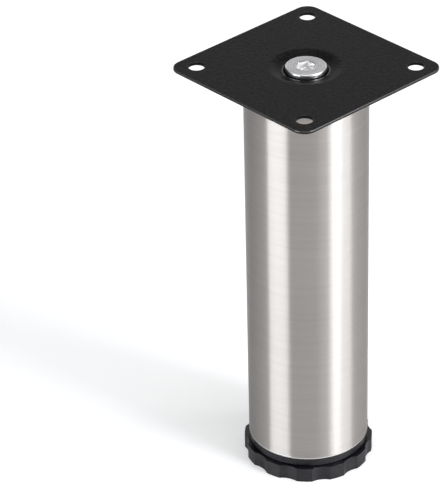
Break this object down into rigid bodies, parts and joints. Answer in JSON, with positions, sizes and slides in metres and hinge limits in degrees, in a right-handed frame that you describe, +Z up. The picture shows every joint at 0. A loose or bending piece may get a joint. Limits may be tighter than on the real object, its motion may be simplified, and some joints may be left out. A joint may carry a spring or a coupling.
{
  "type": "adjustable furniture leg",
  "caption": "Round brushed steel furniture leg with a square black fixing plate on top and a screw-adjusted black levelling foot.",
  "frame": {"origin": "centre of the foot's underside, on the leg's axis, with the foot screwed fully in", "axes": "+Z up the leg to the fixing plate, X and Y along the plate's sides"},
  "size_m": [0.068, 0.068, 0.1603],
  "materials": {
    "black_powder_coat": "satin black powder coat",
    "bright_zinc": "bright zinc plate on turned steel",
    "brushed_stainless": "brushed round the girth",
    "black_moulding": "moulded, fine matt grain",
    "plain_zinc": "zinc plate",
    "spring_steel": "blackened spring steel"
  },
  "bodies": {
    "leg": {"mounting_plate": "black_powder_coat", "centre_screw": "bright_zinc", "leg_tube": "brushed_stainless", "top_plug": "black_moulding", "top_nut": "plain_zinc", "bottom_plug": "black_moulding", "foot_nut": "plain_zinc"},
    "stop": {"stop_ring": "spring_steel"},
    "foot": {"foot_stud": "plain_zinc", "foot_wheel": "black_moulding"}
  },
  "joints": [
    {"name": "foot_extend", "type": "slide", "parent": "leg", "child": "stop", "axis": [0, 0, -1], "range_m": [0, 0.0105]},
    {"name": "foot_turn", "type": "hinge", "parent": "stop", "child": "foot", "pos_m": [0, 0, 0.03], "axis": [0, 0, -1], "range_deg": [0, 2520]}
  ],
  "couplings": [
    {"joint": "foot_extend", "follows": "foot_turn", "m_per_rad": 0.00023873}
  ]
}
